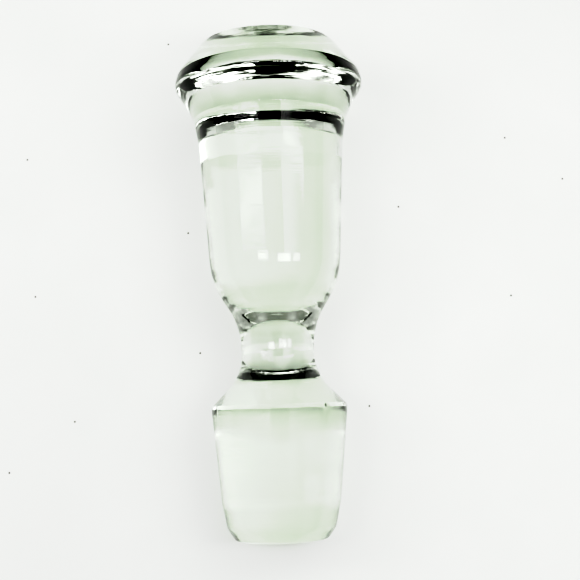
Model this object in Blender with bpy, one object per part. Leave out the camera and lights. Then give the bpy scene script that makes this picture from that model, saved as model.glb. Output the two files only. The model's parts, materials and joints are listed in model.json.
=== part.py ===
"""Clear glass bottle stopper: a taper plug, a waist, a long grip and a flanged head, all one piece of glass.

The stopper is one turned shape. Its section is a short list of corners, each with the radius that
rounds it, and the section is spun about the stopper's own axis. The stopper then lies down as it
does on a table: it touches the table at the flange and at the plug's edge, with its head towards +Y.
Lengths are in millimetres until they are turned into metres by MM.
"""

import math

import bmesh
import bpy
from mathutils import Matrix, Vector

MM = 0.001

# Heights above the plug's flat end, measured along the axis.
PLUG_TOE_HEIGHT = 2.4
PLUG_FOOT_HEIGHT = 7.9
PLUG_HEIGHT = 27.4
WAIST_BOTTOM_HEIGHT = 34.7
WAIST_TOP_HEIGHT = 44.9
GRIP_BOTTOM_HEIGHT = 54.2
GRIP_TOP_HEIGHT = 84.8
COLLAR_HEIGHT = 90.1
FLANGE_UNDERSIDE_HEIGHT = 94.0
FLANGE_CORNER_HEIGHT = 97.2
FLANGE_UPPER_HEIGHT = 99.9
OVERALL_HEIGHT = 106.6

# Diameters at those heights.
PLUG_END_DIAMETER = 19.6
PLUG_TOE_DIAMETER = 23.0
PLUG_FOOT_DIAMETER = 25.2
PLUG_TOP_DIAMETER = 29.0
WAIST_DIAMETER = 15.5
GRIP_BOTTOM_DIAMETER = 27.7
GRIP_TOP_DIAMETER = 31.4
COLLAR_DIAMETER = 33.2
FLANGE_UNDERSIDE_DIAMETER = 36.8
FLANGE_CORNER_DIAMETER = 41.4
FLANGE_UPPER_DIAMETER = 40.0
TOP_DISC_DIAMETER = 29.3

# The plug's ground edge is broken by a small bevel.
PLUG_BEVEL_HEIGHT = 0.8
PLUG_BEVEL_DEPTH = 0.3

# Round stretches: the radius that takes the place of a corner of the section.
PLUG_END_RADIUS = 1.1
PLUG_TOE_RADIUS = 3.5
PLUG_FOOT_RADIUS = 8.0
WAIST_LOWER_RADIUS = 11.0
WAIST_UPPER_RADIUS = 16.6
GRIP_BOTTOM_RADIUS = 18.0
FLANGE_RADIUS = 2.7
FLANGE_UPPER_RADIUS = 1.8
GROUND_EDGE_RADIUS = 0.2
SOFT_EDGE_RADIUS = 0.8

# Each corner of the section, from the plug's flat end to the top disc: height, radius, rounding.
SECTION = (
    (0.0, PLUG_END_DIAMETER / 2, PLUG_END_RADIUS),
    (PLUG_TOE_HEIGHT, PLUG_TOE_DIAMETER / 2, PLUG_TOE_RADIUS),
    (PLUG_FOOT_HEIGHT, PLUG_FOOT_DIAMETER / 2, PLUG_FOOT_RADIUS),
    (PLUG_HEIGHT, PLUG_TOP_DIAMETER / 2, GROUND_EDGE_RADIUS),
    (PLUG_HEIGHT + PLUG_BEVEL_HEIGHT, PLUG_TOP_DIAMETER / 2 - PLUG_BEVEL_DEPTH, GROUND_EDGE_RADIUS),
    (WAIST_BOTTOM_HEIGHT, WAIST_DIAMETER / 2, WAIST_LOWER_RADIUS),
    (WAIST_TOP_HEIGHT, WAIST_DIAMETER / 2, WAIST_UPPER_RADIUS),
    (GRIP_BOTTOM_HEIGHT, GRIP_BOTTOM_DIAMETER / 2, GRIP_BOTTOM_RADIUS),
    (GRIP_TOP_HEIGHT, GRIP_TOP_DIAMETER / 2, SOFT_EDGE_RADIUS),
    (COLLAR_HEIGHT, COLLAR_DIAMETER / 2, SOFT_EDGE_RADIUS),
    (FLANGE_UNDERSIDE_HEIGHT, FLANGE_UNDERSIDE_DIAMETER / 2, SOFT_EDGE_RADIUS),
    (FLANGE_CORNER_HEIGHT, FLANGE_CORNER_DIAMETER / 2, FLANGE_RADIUS),
    (FLANGE_UPPER_HEIGHT, FLANGE_UPPER_DIAMETER / 2, FLANGE_UPPER_RADIUS),
    (OVERALL_HEIGHT, TOP_DISC_DIAMETER / 2, GROUND_EDGE_RADIUS),
)

ARC_STEP = math.radians(12)     # the turn between two points of a rounded corner
SHORTEST_ARC = 1                # a barely bent corner still gets one step
SIDES = 48                      # flats round the stopper, a multiple of four
SHARP_ANGLE = math.radians(30)  # a crease sharper than this is shaded as an edge
SETTLING_ROUNDS = 8             # how often the resting tilt is worked out again from its own contacts
GLASS_COLOUR = (0.86, 0.90, 0.87, 1.0)
GLASS_IOR = 1.52
GLASS_ROUGHNESS = 0.03


def clear_scene():
    for old in list(bpy.data.objects):
        bpy.data.objects.remove(old, do_unlink=True)


def rounded_corner(before, corner, after, radius):
    """Points of the arc of the given radius that touches both lines meeting at the corner."""
    towards_before = (before - corner).normalized()
    towards_after = (after - corner).normalized()
    half_angle = towards_before.angle(towards_after) / 2
    reach = radius / math.tan(half_angle)
    centre = corner + (towards_before + towards_after).normalized() * radius / math.sin(half_angle)
    start = corner + towards_before * reach - centre
    turn = math.pi - 2 * half_angle
    if towards_before.x * towards_after.y - towards_before.y * towards_after.x > 0:
        turn = -turn
    steps = max(SHORTEST_ARC, round(abs(turn) / ARC_STEP))
    return [centre + Matrix.Rotation(turn * step / steps, 2) @ start for step in range(steps + 1)]


def section_points():
    """The section with its corners rounded, as (height, radius) points in millimetres."""
    corners = [Vector((height, radius)) for height, radius, _ in SECTION]
    on_axis = [Vector((0.0, 0.0))] + corners + [Vector((OVERALL_HEIGHT, 0.0))]
    points = []
    for index, (_, _, rounding) in enumerate(SECTION):
        points += rounded_corner(on_axis[index], corners[index], on_axis[index + 2], rounding)
    return points


def resting_tilt(points):
    """How far the axis rises from the table when the plug's edge and the flange both touch it."""
    plug = [point for point in points if point.x < WAIST_BOTTOM_HEIGHT]
    head = [point for point in points if point.x > GRIP_TOP_HEIGHT]
    tilt = 0.0
    for _ in range(SETTLING_ROUNDS):
        def drop(point):
            return point.y * math.cos(tilt) - point.x * math.sin(tilt)
        plug_contact = max(plug, key=drop)
        head_contact = max(head, key=drop)
        across = head_contact - plug_contact
        tilt = math.atan2(across.y, across.x)
    return tilt


def resting_place(points, tilt):
    """Where the plug's flat end goes, so that the stopper's box stands centred on the origin."""
    rise = max(point.y * math.cos(tilt) - point.x * math.sin(tilt) for point in points)
    far_end = max(point.x * math.cos(tilt) + point.y * math.sin(tilt) for point in points)
    near_end = min(point.x * math.cos(tilt) - point.y * math.sin(tilt) for point in points)
    return Vector((0.0, -(far_end + near_end) / 2, rise)) * MM


def glass():
    material = bpy.data.materials.new("clear_glass")
    material.use_nodes = True
    shader = material.node_tree.nodes["Principled BSDF"]
    shader.inputs["Base Color"].default_value = GLASS_COLOUR
    shader.inputs["Metallic"].default_value = 0.0
    shader.inputs["Roughness"].default_value = GLASS_ROUGHNESS
    shader.inputs["IOR"].default_value = GLASS_IOR
    shader.inputs["Transmission Weight"].default_value = 1.0
    return material


def turned_solid(name, points):
    """Spin the section about Z. Its flats touch the true circle, so the solid measures true across them."""
    across_flats = 1 / math.cos(math.pi / SIDES)
    shape = bmesh.new()
    spine = [shape.verts.new((point.y * across_flats * MM, 0.0, point.x * MM)) for point in points]
    edges = [shape.edges.new(pair) for pair in zip(spine, spine[1:])]
    half_side = Matrix.Rotation(math.pi / SIDES, 3, "Z")
    bmesh.ops.rotate(shape, verts=spine, cent=(0, 0, 0), matrix=half_side)
    bmesh.ops.spin(shape, geom=spine + edges, cent=(0, 0, 0), axis=(0, 0, 1),
                   angle=2 * math.pi, steps=SIDES, use_merge=True)
    rims = [edge for edge in shape.edges if edge.is_boundary]
    bmesh.ops.holes_fill(shape, edges=rims, sides=SIDES)
    bmesh.ops.recalc_face_normals(shape, faces=shape.faces)
    mesh = bpy.data.meshes.new(name)
    shape.to_mesh(mesh)
    shape.free()
    mesh.shade_smooth()
    mesh.set_sharp_from_angle(angle=SHARP_ANGLE)
    turned = bpy.data.objects.new(name, mesh)
    turned.data.materials.append(glass())
    bpy.context.scene.collection.objects.link(turned)
    return turned


def lay_down(stopper, points):
    """Turn the stopper from upright to lying, by the empty that carries it."""
    tilt = resting_tilt(points)
    carrier = bpy.data.objects.new("resting_place", None)
    bpy.context.scene.collection.objects.link(carrier)
    carrier.location = resting_place(points, tilt)
    carrier.rotation_euler = (tilt - math.pi / 2, 0.0, 0.0)
    stopper.parent = carrier
    return tilt


clear_scene()
outline = section_points()
glass_stopper = turned_solid("glass_stopper", outline)
rest_tilt = lay_down(glass_stopper, outline)
bpy.context.view_layer.update()
print("section points", len(outline), "faces", len(glass_stopper.data.polygons))
print("axis rises by", round(math.degrees(rest_tilt), 2), "degrees")
top_disc = glass_stopper.matrix_world @ Vector((0, 0, OVERALL_HEIGHT * MM))
plug_end = glass_stopper.matrix_world @ Vector((0, 0, 0))
print("top disc centre", [round(v, 6) for v in top_disc])
print("plug end centre", [round(v, 6) for v in plug_end])
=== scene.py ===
# %% [markdown]
# # A clear glass stopper, lying on a table
#
# The real object is one piece of pressed glass: a ground taper plug that seals a bottle's neck, a narrow
# waist, a long grip for the hand, and a flanged head with a flat top. Clear glass has no look of its own.
# It shows its surroundings, bent and mirrored, so this scene spends its care on three things: a smooth and
# exact turned surface, a glass with the right bend and tint, and a room for it to show.
#
# The first cell loads the frame, which holds the stopper's real size and place, and keeps its meshes.

# %% Load the frame
import json
import math

import bmesh
import bpy
from mathutils import Matrix, Vector, noise


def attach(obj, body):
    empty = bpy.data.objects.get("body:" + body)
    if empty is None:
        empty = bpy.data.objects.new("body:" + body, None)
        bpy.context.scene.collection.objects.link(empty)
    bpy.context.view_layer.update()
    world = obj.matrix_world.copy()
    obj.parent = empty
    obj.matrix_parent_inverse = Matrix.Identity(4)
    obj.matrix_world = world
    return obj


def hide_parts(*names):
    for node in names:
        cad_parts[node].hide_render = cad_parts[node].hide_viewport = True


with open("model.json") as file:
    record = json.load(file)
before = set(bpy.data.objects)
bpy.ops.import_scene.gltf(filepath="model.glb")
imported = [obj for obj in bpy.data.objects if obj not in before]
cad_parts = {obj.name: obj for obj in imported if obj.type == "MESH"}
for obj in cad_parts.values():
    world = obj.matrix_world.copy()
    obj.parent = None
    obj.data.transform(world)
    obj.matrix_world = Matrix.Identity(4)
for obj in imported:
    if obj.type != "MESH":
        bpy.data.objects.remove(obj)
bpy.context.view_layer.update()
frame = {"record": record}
MM = 0.001

# %% [markdown]
# ## Where the stopper's axis lies
#
# The frame's record gives two flat faces, the plug's end and the top disc. The stopper's axis runs through
# their centres, a little uphill, because the flange is wider than the plug. A shape turned about Z is
# carried onto that axis by one matrix. Working the matrix out from the two faces keeps the glass on its
# frame whatever the size.

# %% Find the axis
mounts = {mount["name"]: Vector(mount["pos_m"]) for mount in frame["record"]["mounts"]}
PLUG_END = mounts["plug_end"]
AXIS = (mounts["top_disc"] - PLUG_END).normalized()
LENGTH = (mounts["top_disc"] - PLUG_END).length / MM
ABOVE = Vector((1.0, 0.0, 0.0)).cross(AXIS)
LYING = Matrix.Translation(PLUG_END) @ AXIS.to_track_quat("Z", "X").to_matrix().to_4x4()
print("stopper length in mm", round(LENGTH, 2), "axis rises by", round(math.degrees(math.asin(AXIS.z)), 2))

# %% [markdown]
# ## The section
#
# A turned shape starts as half of its outline. The outline here is a short list of corners, each with a
# height along the axis, a radius from it, and the radius that rounds the corner. The same corners give the
# frame its shape. All are in millimetres.

# %% Corners of the section
SECTION = (
    (0.0, 9.8, 1.1),
    (2.4, 11.5, 3.5),
    (7.9, 12.6, 8.0),
    (27.4, 14.5, 0.2),
    (28.2, 14.2, 0.2),
    (34.7, 7.75, 11.0),
    (44.9, 7.75, 16.6),
    (54.2, 13.85, 18.0),
    (84.8, 15.7, 0.8),
    (90.1, 16.6, 0.8),
    (94.0, 18.4, 0.8),
    (97.2, 20.7, 2.7),
    (99.9, 20.0, 1.8),
    (106.6, 14.65, 0.2),
)
print("corners in the section", len(SECTION))

# %% [markdown]
# ## Drawing the section with a pen
#
# The pen draws a straight edge to the start of each rounded corner, and the corner's arc is a vertex spun
# about the arc's centre: `bmesh.ops.spin` leaves a chain of edges behind it. True arcs matter in glass,
# because a flat spot or a kink shows as a line of light. Long straight edges are then cut up, so that the
# surface has enough points to carry the faint waves of pressed glass.

# %% Draw the section
ARC_STEP = math.radians(7)
FEWEST_STEPS = 2
LONGEST_EDGE = 1.0 * MM


def flat_point(height, radius):
    return Vector((radius * MM, 0.0, height * MM))


def line_to(shape, pen, place):
    point = shape.verts.new(place)
    shape.edges.new((pen, point))
    return point


def round_corner(shape, pen, before, corner, after, radius):
    to_before = (before - corner).normalized()
    to_after = (after - corner).normalized()
    half_angle = to_before.angle(to_after) / 2
    start = corner + to_before * radius / math.tan(half_angle)
    centre = corner + (to_before + to_after).normalized() * radius / math.sin(half_angle)
    turn = math.pi - 2 * half_angle
    steps = max(FEWEST_STEPS, round(turn / ARC_STEP))
    axis = to_after.cross(to_before).normalized()
    pen = line_to(shape, pen, start)
    arc = bmesh.ops.spin(shape, geom=[pen], cent=centre, axis=axis, angle=turn, steps=steps)
    return arc["geom_last"][0]


def draw_section(shape):
    corners = [flat_point(height, radius) for height, radius, _ in SECTION]
    path = [flat_point(0.0, 0.0)] + corners + [flat_point(LENGTH, 0.0)]
    pen = shape.verts.new(path[0])
    for index, (_, _, rounding) in enumerate(SECTION):
        pen = round_corner(shape, pen, *path[index:index + 3], rounding * MM)
    line_to(shape, pen, path[-1])
    for edge in list(shape.edges):
        cuts = math.ceil(edge.calc_length() / LONGEST_EDGE) - 1
        if cuts > 0:
            bmesh.ops.subdivide_edges(shape, edges=[edge], cuts=cuts)


print("an arc takes a step every", round(math.degrees(ARC_STEP)), "degrees")

# %% [markdown]
# ## Turning the glass
#
# Spinning the section a full turn makes the skin. Its two ends close on the axis, where the spun copies of
# the end points are merged into one pole each.

# %% Spin the skin
TURN_STEPS = 430
POLE_GAP = 1e-6

skin = bmesh.new()
draw_section(skin)
print("points in the section", len(skin.verts))
bmesh.ops.spin(skin, geom=list(skin.verts) + list(skin.edges), cent=(0, 0, 0), axis=(0, 0, 1),
               angle=2 * math.pi, steps=TURN_STEPS, use_merge=True)
bmesh.ops.remove_doubles(skin, verts=skin.verts, dist=POLE_GAP)
bmesh.ops.recalc_face_normals(skin, faces=skin.faces)
print("faces in the skin", len(skin.faces), "open edges", sum(edge.is_boundary for edge in skin.edges))

# %% [markdown]
# ## What the press and the grinder leave behind
#
# Pressed glass is never quite true. As it cools, its skin sags into waves too shallow to feel, but light
# bends where it passes them, and that is much of what tells the eye that this is glass. Three noises push
# the skin along its own normals: a slow one, one whose crests ring the stopper, and one whose crests run
# along it. The ground plug and the polished head are truer, so they get less. A ground edge also chips, so
# a few nicks are cut in the plug, and the waist is bowed aside by a third of a millimetre.

# %% Waves, nicks and the bow
WAVES = (
    # depth, spacing around, spacing along, all in mm
    (0.025, 14.0, 14.0),
    (0.008, 9.0, 2.0),
    (0.007, 1.5, 30.0),
)
NICKS = (
    # height, turn from the top towards +X in degrees, reach and depth in mm
    (22.3, -88, 0.8, 0.16),
    (10.6, -84, 1.2, 0.20),
    (27.4, 42, 0.9, 0.30),
    (27.4, -64, 0.6, 0.15),
)
GROUND_FROM = 2.4
GROUND_TO = 27.6
HEAD_FROM = 93.0
GROUND_CALM = 0.3
HEAD_CALM = 0.12
BOW = 0.30
BOW_HEIGHT = 40.0


def calm(height):
    if GROUND_FROM < height < GROUND_TO:
        return GROUND_CALM
    return HEAD_CALM if height > HEAD_FROM else 1.0


def wave(point, depth, around, along):
    return depth * noise.noise(Vector((point.x / around, point.y / around, point.z / along)) / MM)


def nick(point, height, turn, reach, depth):
    angle = math.radians(turn)
    away = math.hypot(point.x, point.y)
    centre = Vector((math.cos(angle) * away, math.sin(angle) * away, height * MM))
    gap = (point - centre).length / MM / reach
    return depth * max(0.0, 1.0 - gap * gap) ** 2


def bow(height):
    span = BOW_HEIGHT if height < BOW_HEIGHT else LENGTH - BOW_HEIGHT
    return BOW * (1.0 - ((height - BOW_HEIGHT) / span) ** 2)


print("bow at the waist in mm", round(bow(BOW_HEIGHT), 2))

# %% Push the skin
skin.normal_update()
pushes = []
for vert in skin.verts:
    push = sum(wave(vert.co, *each) for each in WAVES) * calm(vert.co.z / MM)
    push -= sum(nick(vert.co, *each) for each in NICKS)
    pushes.append(push)
    vert.co += vert.normal * push * MM
for vert in skin.verts:
    vert.co.y += bow(vert.co.z / MM) * MM
print("pushed out by up to", round(max(pushes), 3), "mm, cut in by up to", round(-min(pushes), 3), "mm")

# %% [markdown]
# ## One piece of glass
#
# The real stopper has no joints, so it is one object on the frame's only body. The matrix lays the skin down
# inside the mesh itself, which leaves the object unturned at the origin, as the frame asks of a finished
# piece. Smooth shading fits, because every edge of a fire-polished piece is a small round one.

# %% Make the piece
mesh = bpy.data.meshes.new("stopper_glass")
skin.transform(LYING)
skin.to_mesh(mesh)
skin.free()
mesh.shade_smooth()
stopper = bpy.data.objects.new("stopper_glass", mesh)
bpy.context.scene.collection.objects.link(stopper)
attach(stopper, "root")
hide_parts("glass_stopper")
print("piece", stopper.name, "faces", len(mesh.polygons))

# %% [markdown]
# ## Two helpers for materials
#
# A colour is given as an sRGB hex value, and a shader wants linear light, so one function turns the
# one into the other. The other function adds a node, sets its values and plugs in its links, which keeps a
# material readable as a short list of nodes.

# %% Helpers for colours and nodes


def linear(hex_colour):
    channels = [int(hex_colour[i:i + 2], 16) / 255 for i in (1, 3, 5)]
    return [c / 12.92 if c <= 0.04045 else ((c + 0.055) / 1.055) ** 2.4 for c in channels] + [1.0]


def add(tree, kind, settings=None, links=None):
    node = tree.nodes.new(kind)
    for name, value in (settings or {}).items():
        if isinstance(name, int) or name in node.inputs:
            node.inputs[name].default_value = value
        else:
            setattr(node, name, value)
    for name, source in (links or {}).items():
        tree.links.new(source, node.inputs[name])
    return node


print("middle grey in linear light", [round(value, 3) for value in linear("#808080")])

# %% [markdown]
# ## Where the plug is ground
#
# The plug's side was ground with wet grit until it fitted its bottle's neck, and the rest was polished by
# fire. One glass serves both. The height along the axis, a dot product of the place and the axis, tells
# them apart: the mask is 1 on the ground side and 0 elsewhere, with a soft step at each end.

# %% Mask the ground side
glass = bpy.data.materials.new("pressed_soda_glass")
glass.use_nodes = True
tree = glass.node_tree
tree.nodes.clear()
PLUG_FOOT = PLUG_END.dot(AXIS)
FOOT_STEP = (1.6, 3.0)
EDGE_STEP = (27.5, 27.1)
coordinates = add(tree, "ShaderNodeTexCoord")
position = coordinates.outputs["Object"]
split = add(tree, "ShaderNodeSeparateXYZ", {}, {"Vector": position})
along = add(tree, "ShaderNodeVectorMath", {"operation": "DOT_PRODUCT", 1: AXIS}, {0: position})
foot = add(tree, "ShaderNodeMapRange", {
    "From Min": PLUG_FOOT + FOOT_STEP[0] * MM,
    "From Max": PLUG_FOOT + FOOT_STEP[1] * MM}, {"Value": along.outputs["Value"]})
edge = add(tree, "ShaderNodeMapRange", {
    "From Min": PLUG_FOOT + EDGE_STEP[0] * MM,
    "From Max": PLUG_FOOT + EDGE_STEP[1] * MM}, {"Value": along.outputs["Value"]})
ground = add(tree, "ShaderNodeMath", {"operation": "MULTIPLY"}, {
    0: foot.outputs["Result"], 1: edge.outputs["Result"]})
print("ground side from", FOOT_STEP, "to", EDGE_STEP, "mm above the plug's end")

# %% [markdown]
# ## Grooves that ring the stopper
#
# The plug turned in the grinder, and the mould was turned on a lathe, so their marks ring the axis. A noise
# that is stretched across the axis draws such marks: its place is divided by one spacing along the axis and
# by a much longer one across it. Three sets are drawn, all as coarse as they need to be to show: the grit's
# own scratches, 0.5 mm apart, the patches where the ground side has worn bright, 4 to 6 mm across, and the
# mould's lathe marks, 0.45 mm apart.

# %% Draw the grooves


def grooves(spacing_along, spacing_across, detail):
    stretched = add(tree, "ShaderNodeCombineXYZ")
    spacings = {"X": spacing_along, "Y": spacing_across, "Z": spacing_across}
    sources = {"X": along.outputs["Value"], "Y": split.outputs["X"], "Z": split.outputs["Z"]}
    for side, spacing in spacings.items():
        count = add(tree, "ShaderNodeMath", {"operation": "DIVIDE", 1: spacing * MM}, {0: sources[side]})
        tree.links.new(count.outputs["Value"], stretched.inputs[side])
    drawn = add(tree, "ShaderNodeTexNoise", {"Scale": 1.0, "Detail": detail}, {
        "Vector": stretched.outputs["Vector"]})
    return drawn.outputs["Fac"]


grit = grooves(0.5, 9.0, 3.0)
worn = grooves(6.0, 4.0, 2.0)
lathe_marks = grooves(0.45, 16.0, 2.0)
print("glass nodes so far", len(tree.nodes))

# %% [markdown]
# ## Soda glass
#
# Soda-lime glass bends light with an index of 1.52. A trace of iron in it gives a faint green. Part of the
# tint is a volume that takes red and blue from the light along its way, so that long paths turn greener, and
# part is put on the surface, so that thin parts show it too. The ground side scatters, and is roughest where
# both the grit and the wear noise are high. Both sets of marks are a bump of hundredths of a millimetre,
# because they are far too shallow to change the outline.

# %% Glass
GLASS_IOR = 1.52
MARK_DEPTH = 0.02 * MM
SCRATCH_STRENGTH = 0.5
LATHE_STRENGTH = 0.6
IRON_DENSITY = 1.0
FROSTING_RANGE = (0.12, 0.42)
FROST_ROUGHNESS = (0.06, 0.22)
frosting = add(tree, "ShaderNodeMath", {"operation": "MULTIPLY"}, {0: grit, 1: worn})
frost = add(tree, "ShaderNodeMapRange", {
    "From Min": FROSTING_RANGE[0], "From Max": FROSTING_RANGE[1],
    "To Min": FROST_ROUGHNESS[0], "To Max": FROST_ROUGHNESS[1]}, {"Value": frosting.outputs["Value"]})
roughness = add(tree, "ShaderNodeMath", {"operation": "MULTIPLY"}, {
    0: ground.outputs["Value"], 1: frost.outputs["Result"]})
scratches = add(tree, "ShaderNodeMath", {"operation": "MULTIPLY"}, {0: ground.outputs["Value"], 1: grit})
scratched = add(tree, "ShaderNodeBump", {"Strength": SCRATCH_STRENGTH, "Distance": MARK_DEPTH}, {
    "Height": scratches.outputs["Value"]})
marked = add(tree, "ShaderNodeBump", {"Strength": LATHE_STRENGTH, "Distance": MARK_DEPTH}, {
    "Height": lathe_marks, "Normal": scratched.outputs["Normal"]})
shader = add(tree, "ShaderNodeBsdfPrincipled", {
    "Base Color": linear("#F9FFF6"), "IOR": GLASS_IOR, "Transmission Weight": 1.0}, {
    "Roughness": roughness.outputs["Value"], "Normal": marked.outputs["Normal"]})
iron = add(tree, "ShaderNodeVolumeAbsorption", {"Color": linear("#DAF6B6"), "Density": IRON_DENSITY})
add(tree, "ShaderNodeOutputMaterial", {}, {
    "Surface": shader.outputs["BSDF"], "Volume": iron.outputs["Volume"]})
mesh.materials.append(glass)
print("glass nodes", len(tree.nodes))

# %% [markdown]
# ## The table
#
# The stopper lies on a white laminate board. Laminate is printed paper under hard resin, a little uneven in
# tone and never quite clean. A slow noise gives the unevenness, and a cell pattern gives one fleck of dust
# to a cell, half a millimetre across.

# %% Table
TABLE_HALF_SIDE = 1.5
CLOUD_SPACING = 30.0 * MM
FLECK_SPACING = 34.0 * MM
FLECK_RADIUS = 0.25 * MM
FLECK_FADE = (1.2, 0.8)
RESIN_ROUGHNESS = 0.6
board = bmesh.new()
bmesh.ops.create_grid(board, x_segments=1, y_segments=1, size=TABLE_HALF_SIDE)
table_mesh = bpy.data.meshes.new("table_top")
board.to_mesh(table_mesh)
board.free()
table = bpy.data.objects.new("table_top", table_mesh)
bpy.context.scene.collection.objects.link(table)

laminate = bpy.data.materials.new("white_laminate")
laminate.use_nodes = True
sheet = laminate.node_tree
sheet.nodes.clear()
sheet_place = add(sheet, "ShaderNodeTexCoord")
clouds = add(sheet, "ShaderNodeTexNoise", {"Scale": 1.0 / CLOUD_SPACING, "Detail": 4.0}, {
    "Vector": sheet_place.outputs["Object"]})
# Sockets 6 and 7 of a colour mix are its two colours, and output 2 is the mixed one.
tone = add(sheet, "ShaderNodeMix", {"data_type": "RGBA", 6: linear("#E6EAE4"), 7: linear("#F4F6F2")}, {
    "Factor": clouds.outputs["Fac"]})
cells = add(sheet, "ShaderNodeTexVoronoi", {"voronoi_dimensions": "2D", "Scale": 1.0 / FLECK_SPACING}, {
    "Vector": sheet_place.outputs["Object"]})
fleck = add(sheet, "ShaderNodeMapRange", {
    "From Min": FLECK_FADE[0] * FLECK_RADIUS / FLECK_SPACING,
    "From Max": FLECK_FADE[1] * FLECK_RADIUS / FLECK_SPACING}, {"Value": cells.outputs["Distance"]})
flecked = add(sheet, "ShaderNodeMix", {"data_type": "RGBA", 7: linear("#6E6F6A")}, {
    "Factor": fleck.outputs["Result"], 6: tone.outputs[2]})
resin = add(sheet, "ShaderNodeBsdfPrincipled", {"Roughness": RESIN_ROUGHNESS}, {
    "Base Color": flecked.outputs[2]})
add(sheet, "ShaderNodeOutputMaterial", {}, {"Surface": resin.outputs["BSDF"]})
table_mesh.materials.append(laminate)
print("table nodes", len(sheet.nodes))

# %% [markdown]
# ## The room
#
# Clear glass shows the room, so the room is drawn as soft patches of light: each has a direction, a reach in
# degrees over which it fades, and a brightness. A pale ceiling glows above. The wall that the head points at
# is dim, and the one behind the plug is darker still, which is what draws the black rings in the glass: light
# that is reflected inside it comes out from there. The last node shows a camera ray a plain pale backdrop.

# %% Room
ROOM = (
    # azimuth from +Y towards +X, elevation, full reach, faded reach, all in degrees, and brightness
    (0, -90, 98, 112, 0.2),
    (50, 72, 12, 34, 5.2),
    (0, 32, 12, 22, 0.42),
    (-35, 34, 8, 20, 0.55),
    (35, 34, 8, 20, 0.55),
    (180, 38, 16, 34, 0.0),
    (180, 10, 18, 28, 0.02),
    (-150, 32, 8, 20, 0.05),
    (150, 36, 8, 20, 0.05),
)
WALLS = 0.95
BACKDROP = 0.85
world = bpy.data.worlds.new("room")
bpy.context.scene.world = world
world.use_nodes = True
room = world.node_tree
room.nodes.clear()
ray = add(room, "ShaderNodeTexCoord")
light = add(room, "ShaderNodeValue")
light.outputs["Value"].default_value = WALLS
brightness = light.outputs["Value"]
for azimuth, elevation, full, faded, glow in ROOM:
    turn = math.radians(azimuth)
    rise = math.radians(elevation)
    towards = (math.sin(turn) * math.cos(rise), math.cos(turn) * math.cos(rise), math.sin(rise))
    near = add(room, "ShaderNodeVectorMath", {"operation": "DOT_PRODUCT", 1: towards}, {
        0: ray.outputs["Generated"]})
    patch = add(room, "ShaderNodeMapRange", {
        "interpolation_type": "SMOOTHSTEP",
        "From Min": math.cos(math.radians(faded)),
        "From Max": math.cos(math.radians(full))}, {"Value": near.outputs["Value"]})
    laid_over = add(room, "ShaderNodeMix", {"data_type": "FLOAT", "B": glow}, {
        "Factor": patch.outputs["Result"], "A": brightness})
    brightness = laid_over.outputs["Result"]
path = add(room, "ShaderNodeLightPath")
seen = add(room, "ShaderNodeMix", {"data_type": "FLOAT", "B": BACKDROP}, {
    "Factor": path.outputs["Is Camera Ray"], "A": brightness})
air = add(room, "ShaderNodeBackground", {}, {"Strength": seen.outputs["Result"]})
add(room, "ShaderNodeOutputWorld", {}, {"Surface": air.outputs["Background"]})
print("patches in the room", len(ROOM))

# %% [markdown]
# ## A black flag over the stopper
#
# A photographer's flag is a black card that is held between a lamp and a shiny thing. This one hangs over the
# stopper, where the person who looks down at it would be. The table never shows it, but the flange's curved
# edge mirrors it as a dark oval, and the grip's top loses its glare.

# %% Black flag
FLAG_WIDTH = 0.155
FLAG_LENGTH = 0.155
FLAG_PLACE = Vector((0.003, -0.047, 0.285))
FELT_ROUGHNESS = 0.9
card = bmesh.new()
bmesh.ops.create_grid(card, x_segments=1, y_segments=1, size=0.5)
bmesh.ops.scale(card, vec=(FLAG_WIDTH, FLAG_LENGTH, 1.0), verts=card.verts)
bmesh.ops.translate(card, vec=FLAG_PLACE, verts=card.verts)
flag_mesh = bpy.data.meshes.new("black_flag")
card.to_mesh(flag_mesh)
card.free()
flag = bpy.data.objects.new("black_flag", flag_mesh)
bpy.context.scene.collection.objects.link(flag)
flag.visible_camera = False

felt = bpy.data.materials.new("black_felt")
felt.use_nodes = True
nap = felt.node_tree.nodes["Principled BSDF"]
nap.inputs["Base Color"].default_value = linear("#0A0A0A")
nap.inputs["Roughness"].default_value = FELT_ROUGHNESS
flag_mesh.materials.append(felt)
print("flag hangs", round(FLAG_PLACE.z / MM), "mm above the table")

# %% [markdown]
# ## Window panes
#
# A polished grip mirrors the windows of a room as small bright panes. Each pane is an area light that faces
# down from one height, wide along X and shallow along Y, because the grip curves across X and so squeezes
# what it mirrors in that direction. A row of thin ones, like the slats of a blind, lights the grip's side.

# %% Window panes
PANE_HEIGHT = 260.0
PANES = [
    # from and to along X, place and depth along Y, all in mm, and radiance
    (-125, -42, -36, 26, 16.0),
    (25, 130, -45, 32, 16.0),
    (155, 235, -48, 34, 13.0),
    (-330, -70, 16, 14, 9.0),
    (90, 300, 42, 12, 9.0),
]
SLATS = 7
SLAT_PITCH = 12
FIRST_SLAT = (-330, -60, 72, 4.0, 9.0)
for slat in range(SLATS):
    start, stop, place, depth, radiance = FIRST_SLAT
    PANES.append((start, stop, place - SLAT_PITCH * slat, depth, radiance))


def window_pane(name, start, stop, place, depth, radiance):
    pane = bpy.data.lights.new(name, "AREA")
    pane.shape = "RECTANGLE"
    pane.size = (stop - start) * MM
    pane.size_y = depth * MM
    pane.energy = radiance * math.pi * pane.size * pane.size_y
    lamp = bpy.data.objects.new(name, pane)
    bpy.context.scene.collection.objects.link(lamp)
    lamp.location = Vector(((start + stop) / 2, place, PANE_HEIGHT)) * MM
    lamp.visible_camera = False


for index, pane in enumerate(PANES):
    window_pane(f"window_pane_{index}", *pane)
print("window panes", len(PANES))

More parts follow.
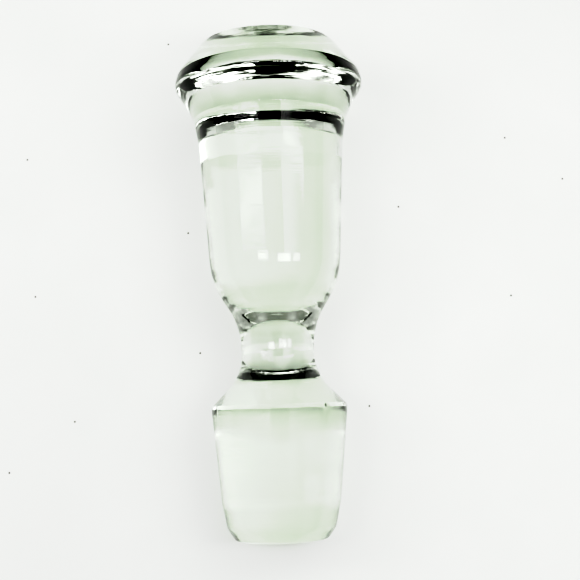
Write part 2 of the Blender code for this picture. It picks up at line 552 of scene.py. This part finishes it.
# %% [markdown]
# ## The camera
#
# The camera looks down on the lying stopper from about a quarter of a metre, a little past square to its
# axis, so that the head leans away. Its place is counted from the plug's end, along the axis and above it.
# A pitch turns it about X and a small roll turns the picture.

# %% Camera
CAMERA_DISTANCE = 243.9
CAMERA_ALONG = 26.15
CAMERA_ASIDE = 3.32
CAMERA_PITCH = math.radians(6.19)
CAMERA_ROLL = math.radians(-1.90)
SIDEWAYS = Vector((1.0, 0.0, 0.0))
SENSOR_WIDTH = 36.0
FOCAL_LENGTH = 70.7
camera_data = bpy.data.cameras.new("camera")
camera_data.sensor_width = SENSOR_WIDTH
camera_data.lens = FOCAL_LENGTH
camera = bpy.data.objects.new("camera", camera_data)
bpy.context.scene.collection.objects.link(camera)
forward = AXIS * math.sin(CAMERA_PITCH) - ABOVE * math.cos(CAMERA_PITCH)
level_up = AXIS * math.cos(CAMERA_PITCH) + ABOVE * math.sin(CAMERA_PITCH)
up = level_up * math.cos(CAMERA_ROLL) - SIDEWAYS * math.sin(CAMERA_ROLL)
right = SIDEWAYS * math.cos(CAMERA_ROLL) + level_up * math.sin(CAMERA_ROLL)
facing = Matrix((right, up, -forward)).transposed().to_4x4()
stand = PLUG_END + (AXIS * CAMERA_ALONG + ABOVE * CAMERA_DISTANCE + SIDEWAYS * CAMERA_ASIDE) * MM
camera.matrix_world = Matrix.Translation(stand) @ facing
bpy.context.scene.camera = camera
print("camera height above the table in mm", round(stand.z / MM, 1))

# %% [markdown]
# ## Exposure and tone
#
# The plain "Standard" transform keeps the glass and the table in their own tones. A curve then gives the
# picture its contrast: it deepens the darks and lifts the pale tones, as a camera does with a bright scene.

# %% Tone
EXPOSURE = -0.32
TONE = ((0.12, 0.01), (0.25, 0.10), (0.36, 0.28), (0.52, 0.53), (0.79, 0.895))
view = bpy.context.scene.view_settings
view.view_transform = "Standard"
view.exposure = EXPOSURE
view.use_curve_mapping = True
COMBINED = 3
curve = view.curve_mapping.curves[COMBINED]
for dark, bright in TONE:
    curve.points.new(dark, bright)
view.curve_mapping.update()
print("points on the tone curve", len(curve.points))
